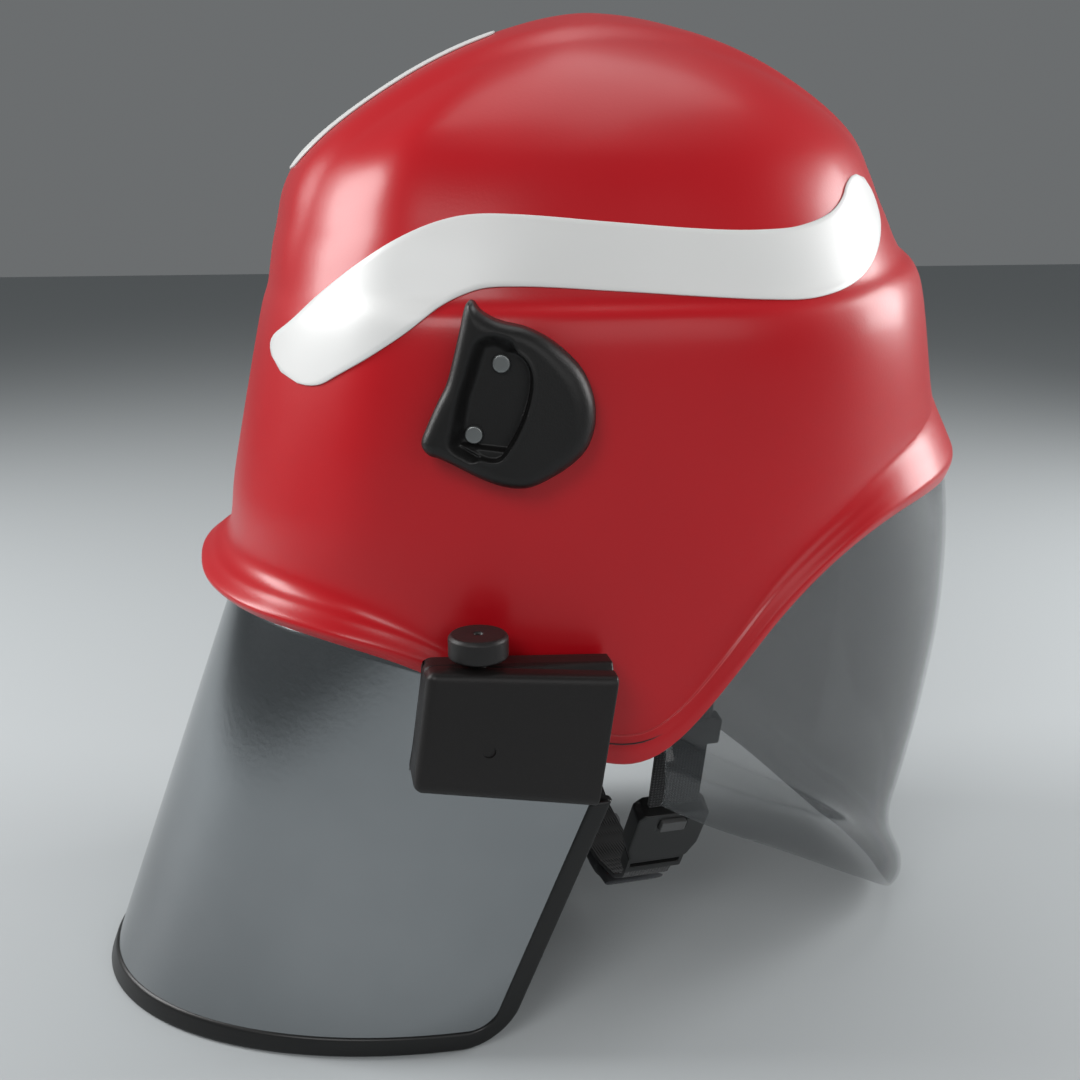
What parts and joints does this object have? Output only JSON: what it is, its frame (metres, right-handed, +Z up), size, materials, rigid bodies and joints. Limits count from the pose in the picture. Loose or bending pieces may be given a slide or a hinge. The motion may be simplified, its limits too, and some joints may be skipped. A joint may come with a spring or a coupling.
{
  "type": "firefighter helmet",
  "caption": "Structural firefighting helmet: domed shell with rolled brim, reflective stripes, tilting metallised face visor, mask adapters, neck guard and adjustable head harness.",
  "frame": {"origin": "centre of the bounding box in plan, on the floor the helmet stands on", "axes": "-Y is the front of the helmet, +X the wearer's left, +Z up"},
  "size_m": [0.2724, 0.3551, 0.3708],
  "materials": {
    "shell_red": "satin gloss",
    "stripe_white": "retroreflective film",
    "adapter_black": "fine grain",
    "screw_metal": "dark satin",
    "box_black": "fine grain",
    "jaw_grey": "moulded",
    "knob_black": "fine grain",
    "hinge_black": "moulded",
    "visor_mirror": "metallised, reflective",
    "trim_rubber": "satin",
    "liner_foam": "foam",
    "pad_fabric": "knitted cover",
    "band_plastic": "moulded",
    "webbing": "woven",
    "ratchet_plastic": "moulded",
    "guard_smoke": "smoky translucent",
    "buckle_black": "moulded",
    "button_grey": "moulded"
  },
  "bodies": {
    "body": {"shell": "shell_red", "stripe_left": "stripe_white", "stripe_right": "stripe_white", "stripe_front": "stripe_white", "mask_adapter_left": "adapter_black", "mask_adapter_right": "adapter_black", "adapter_screw_upper_left": "screw_metal", "adapter_screw_lower_left": "screw_metal", "adapter_screw_upper_right": "screw_metal", "adapter_screw_lower_right": "screw_metal", "hinge_box_left": "box_black", "hinge_box_right": "box_black", "pivot_pin_left": "screw_metal", "pivot_pin_right": "screw_metal", "impact_liner": "liner_foam", "crown_pad": "pad_fabric", "headband_front": "band_plastic", "brow_pad": "pad_fabric", "crown_strap_side": "webbing", "crown_strap_long": "webbing", "neck_guard": "guard_smoke", "strap_anchor_left": "band_plastic", "strap_anchor_right": "band_plastic", "chin_strap_left": "webbing", "chin_strap_right": "webbing", "chin_pad": "pad_fabric", "buckle_body": "buckle_black", "buckle_tongue": "buckle_black"},
    "visor": {"visor_lens": "visor_mirror", "visor_trim": "trim_rubber", "pivot_bushing_left": "hinge_black", "pivot_bushing_right": "hinge_black", "carrier_plate_left": "hinge_black", "carrier_plate_right": "hinge_black"},
    "knob_left": {"clamp_knob_left": "knob_black"},
    "knob_right": {"clamp_knob_right": "knob_black"},
    "jaw_left": {"clamp_jaw_left": "jaw_grey"},
    "jaw_right": {"clamp_jaw_right": "jaw_grey"},
    "cradle": {"headband_rear": "band_plastic", "nape_pad": "pad_fabric", "ratchet_housing": "ratchet_plastic"},
    "dial": {"ratchet_dial": "ratchet_plastic"},
    "button": {"buckle_button": "button_grey"},
    "slider": {"strap_slider": "buckle_black"}
  },
  "joints": [
    {"name": "visor_tilt", "type": "hinge", "parent": "body", "child": "visor", "pos_m": [0, -0.04405, 0.1365], "axis": [-1, 0, 0], "range_deg": [0, 20]},
    {"name": "knob_left_turn", "type": "hinge", "parent": "body", "child": "knob_left", "pos_m": [0.1235, -0.04505, 0.16], "axis": [0, 0, 1], "range_deg": [0, 720]},
    {"name": "knob_right_turn", "type": "hinge", "parent": "body", "child": "knob_right", "pos_m": [-0.1235, -0.04505, 0.16], "axis": [0, 0, 1], "range_deg": [0, 720]},
    {"name": "jaw_left_slide", "type": "slide", "parent": "body", "child": "jaw_left", "axis": [0, 0, -1], "range_m": [0, 0.0016]},
    {"name": "jaw_right_slide", "type": "slide", "parent": "body", "child": "jaw_right", "axis": [0, 0, -1], "range_m": [0, 0.0016]},
    {"name": "cradle_slide", "type": "slide", "parent": "body", "child": "cradle", "axis": [0, -1, 0], "range_m": [0, 0.012]},
    {"name": "dial_turn", "type": "hinge", "parent": "cradle", "child": "dial", "pos_m": [0, 0.13295, 0.22], "axis": [0, 1, 0], "range_deg": [0, 720]},
    {"name": "button_press", "type": "slide", "parent": "body", "child": "button", "axis": [-0.8581, 0, 0.5135], "range_m": [0, 0.0012], "stiffness_N_per_m": 800},
    {"name": "slider_shift", "type": "slide", "parent": "body", "child": "slider", "axis": [-0.2368, 0, -0.9715], "range_m": [0, 0.02]}
  ],
  "couplings": [
    {"joint": "jaw_left_slide", "follows": "knob_left_turn", "m_per_rad": 0.000127},
    {"joint": "jaw_right_slide", "follows": "knob_right_turn", "m_per_rad": 0.000127},
    {"joint": "dial_turn", "follows": "cradle_slide", "rad_per_m": 1047.2}
  ]
}
